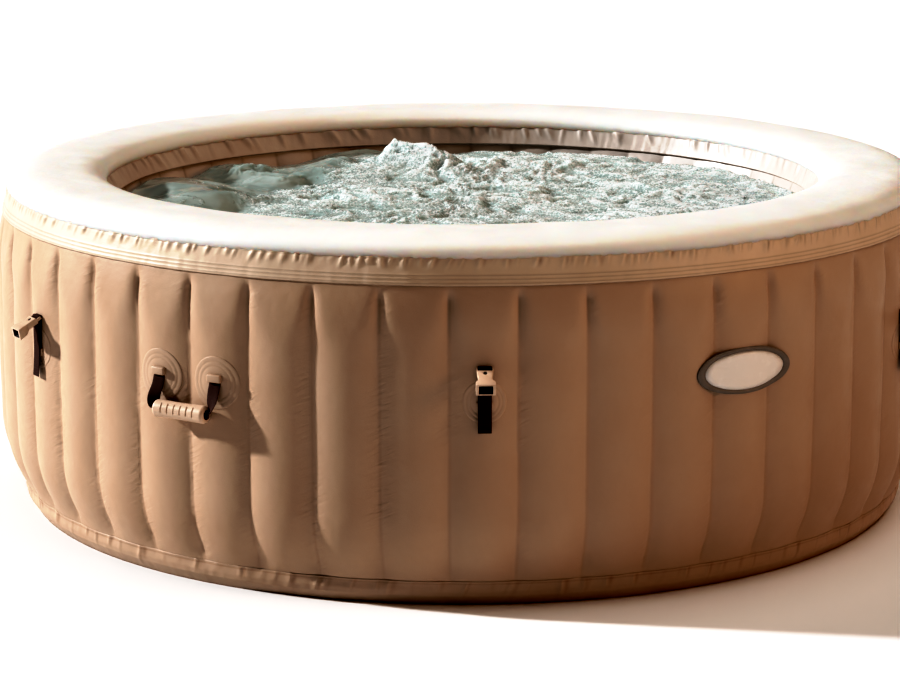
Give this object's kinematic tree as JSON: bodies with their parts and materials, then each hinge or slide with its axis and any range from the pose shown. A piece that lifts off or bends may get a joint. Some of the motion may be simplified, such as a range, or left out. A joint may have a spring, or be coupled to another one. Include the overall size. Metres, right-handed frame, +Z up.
{
  "type": "inflatable hot tub",
  "caption": "Round inflatable hot tub with a fluted tan wall, white rim, carry handles, cover straps with lockable buckles, blank oval badge and capped service ports.",
  "frame": {"origin": "middle of the base, on the ground", "axes": "+Z up; -Y towards the front strap; +X to the right seen from the front"},
  "size_m": [1.9596, 2.0706, 0.7],
  "materials": {
    "badge_grey": "smooth",
    "badge_pale": "smooth",
    "black_webbing": "plain woven webbing",
    "dark_plastic": "moulded",
    "grey_sheet": "matt sheet",
    "tan_plastic": "fine moulded texture",
    "tan_vinyl": "satin laminated vinyl",
    "white_vinyl": "satin laminated vinyl"
  },
  "bodies": {
    "tub": {"air_channel": "tan_vinyl", "air_port": "tan_plastic", "badge_border": "badge_grey", "badge_face": "badge_pale", "bottom_hem": "tan_vinyl", "drain_valve": "tan_plastic", "floor_liner": "tan_vinyl", "ground_sheet": "grey_sheet", "handle_patch_1_left": "tan_vinyl", "handle_patch_1_right": "tan_vinyl", "handle_patch_2_left": "tan_vinyl", "handle_patch_2_right": "tan_vinyl", "inflation_valve": "tan_plastic", "inner_collar": "tan_vinyl", "inner_wall": "tan_vinyl", "outer_collar": "tan_vinyl", "outer_wall": "tan_vinyl", "strap_patch_1": "tan_vinyl", "strap_patch_2": "tan_vinyl", "strap_patch_3": "tan_vinyl", "strap_patch_4": "tan_vinyl", "strap_patch_5": "tan_vinyl", "strap_patch_6": "tan_vinyl", "strap_webbing_1": "black_webbing", "strap_webbing_2": "black_webbing", "strap_webbing_3": "black_webbing", "strap_webbing_4": "black_webbing", "strap_webbing_5": "black_webbing", "strap_webbing_6": "black_webbing", "top_rim": "white_vinyl", "water_inlet": "tan_plastic", "water_inlet_strainer": "tan_plastic", "water_outlet": "tan_plastic", "water_outlet_strainer": "tan_plastic"},
    "buckle_body_1": {"buckle_1": "tan_plastic"},
    "lock_1": {"lock_barrel_1": "dark_plastic"},
    "buckle_body_2": {"buckle_2": "tan_plastic"},
    "lock_2": {"lock_barrel_2": "dark_plastic"},
    "buckle_body_3": {"buckle_3": "tan_plastic"},
    "lock_3": {"lock_barrel_3": "dark_plastic"},
    "buckle_body_4": {"buckle_4": "tan_plastic"},
    "lock_4": {"lock_barrel_4": "dark_plastic"},
    "buckle_body_5": {"buckle_5": "tan_plastic"},
    "lock_5": {"lock_barrel_5": "dark_plastic"},
    "buckle_body_6": {"buckle_6": "tan_plastic"},
    "lock_6": {"lock_barrel_6": "dark_plastic"},
    "handle_1": {"handle_webbing_1": "black_webbing", "handle_grip_1": "tan_plastic"},
    "handle_2": {"handle_webbing_2": "black_webbing", "handle_grip_2": "tan_plastic"},
    "water_inlet_cap_body": {"water_inlet_cap": "tan_plastic"},
    "water_outlet_cap_body": {"water_outlet_cap": "tan_plastic"},
    "air_port_cap_body": {"air_port_cap": "tan_plastic"},
    "inflation_valve_cap_body": {"inflation_valve_cap": "tan_plastic"},
    "drain_valve_cap_body": {"drain_valve_cap": "tan_plastic"}
  },
  "joints": [
    {"name": "buckle_1_tilt", "type": "hinge", "parent": "tub", "child": "buckle_body_1", "pos_m": [0, -0.98687, 0.464], "axis": [-1, 0, 0], "range_deg": [0, 75]},
    {"name": "lock_1_turn", "type": "hinge", "parent": "buckle_body_1", "child": "lock_1", "pos_m": [0, -1.00372, 0.46055], "axis": [0, -0.5299, 0.848], "range_deg": [0, 90]},
    {"name": "buckle_2_tilt", "type": "hinge", "parent": "tub", "child": "buckle_body_2", "pos_m": [0.85465, -0.49343, 0.464], "axis": [-0.5, -0.866, 0], "range_deg": [0, 75]},
    {"name": "lock_2_turn", "type": "hinge", "parent": "buckle_body_2", "child": "lock_2", "pos_m": [0.86924, -0.50186, 0.46055], "axis": [0.4589, -0.265, 0.848], "range_deg": [0, 90]},
    {"name": "buckle_3_tilt", "type": "hinge", "parent": "tub", "child": "buckle_body_3", "pos_m": [0.85465, 0.49343, 0.464], "axis": [0.5, -0.866, 0], "range_deg": [0, 75]},
    {"name": "lock_3_turn", "type": "hinge", "parent": "buckle_body_3", "child": "lock_3", "pos_m": [0.86924, 0.50186, 0.46055], "axis": [0.4589, 0.265, 0.848], "range_deg": [0, 90]},
    {"name": "buckle_4_tilt", "type": "hinge", "parent": "tub", "child": "buckle_body_4", "pos_m": [0, 0.98687, 0.464], "axis": [1, 0, 0], "range_deg": [0, 75]},
    {"name": "lock_4_turn", "type": "hinge", "parent": "buckle_body_4", "child": "lock_4", "pos_m": [0, 1.00372, 0.46055], "axis": [0, 0.5299, 0.848], "range_deg": [0, 90]},
    {"name": "buckle_5_tilt", "type": "hinge", "parent": "tub", "child": "buckle_body_5", "pos_m": [-0.85465, 0.49343, 0.464], "axis": [0.5, 0.866, 0], "range_deg": [0, 75]},
    {"name": "lock_5_turn", "type": "hinge", "parent": "buckle_body_5", "child": "lock_5", "pos_m": [-0.86924, 0.50186, 0.46055], "axis": [-0.4589, 0.265, 0.848], "range_deg": [0, 90]},
    {"name": "buckle_6_tilt", "type": "hinge", "parent": "tub", "child": "buckle_body_6", "pos_m": [-0.85465, -0.49343, 0.464], "axis": [-0.5, 0.866, 0], "range_deg": [0, 75]},
    {"name": "lock_6_turn", "type": "hinge", "parent": "buckle_body_6", "child": "lock_6", "pos_m": [-0.86924, -0.50186, 0.46055], "axis": [-0.4589, -0.265, 0.848], "range_deg": [0, 90]},
    {"name": "handle_1_lift", "type": "hinge", "parent": "tub", "child": "handle_1", "pos_m": [-0.54551, -0.81641, 0.411], "axis": [-0.8315, 0.5556, 0], "range_deg": [0, 75]},
    {"name": "handle_2_lift", "type": "hinge", "parent": "tub", "child": "handle_2", "pos_m": [0.54551, 0.81641, 0.411], "axis": [0.8315, -0.5556, 0], "range_deg": [0, 75]},
    {"name": "water_inlet_cap_unscrew", "type": "hinge", "parent": "tub", "child": "water_inlet_cap_body", "pos_m": [-0.37494, 0.90519, 0.19], "axis": [-0.3827, 0.9239, 0], "continuous": true},
    {"name": "water_outlet_cap_unscrew", "type": "hinge", "parent": "tub", "child": "water_outlet_cap_body", "pos_m": [-0.59644, 0.7773, 0.19], "axis": [-0.6088, 0.7934, 0], "continuous": true},
    {"name": "air_port_cap_unscrew", "type": "hinge", "parent": "tub", "child": "air_port_cap_body", "pos_m": [-0.48988, 0.8485, 0.32], "axis": [-0.5, 0.866, 0], "continuous": true},
    {"name": "inflation_valve_cap_unscrew", "type": "hinge", "parent": "tub", "child": "inflation_valve_cap_body", "pos_m": [-0.6928, 0.6928, 0.5], "axis": [-0.7071, 0.7071, 0], "continuous": true},
    {"name": "drain_valve_cap_unscrew", "type": "hinge", "parent": "tub", "child": "drain_valve_cap_body", "pos_m": [-0.25358, 0.94638, 0.108], "axis": [-0.2588, 0.9659, 0], "continuous": true}
  ]
}
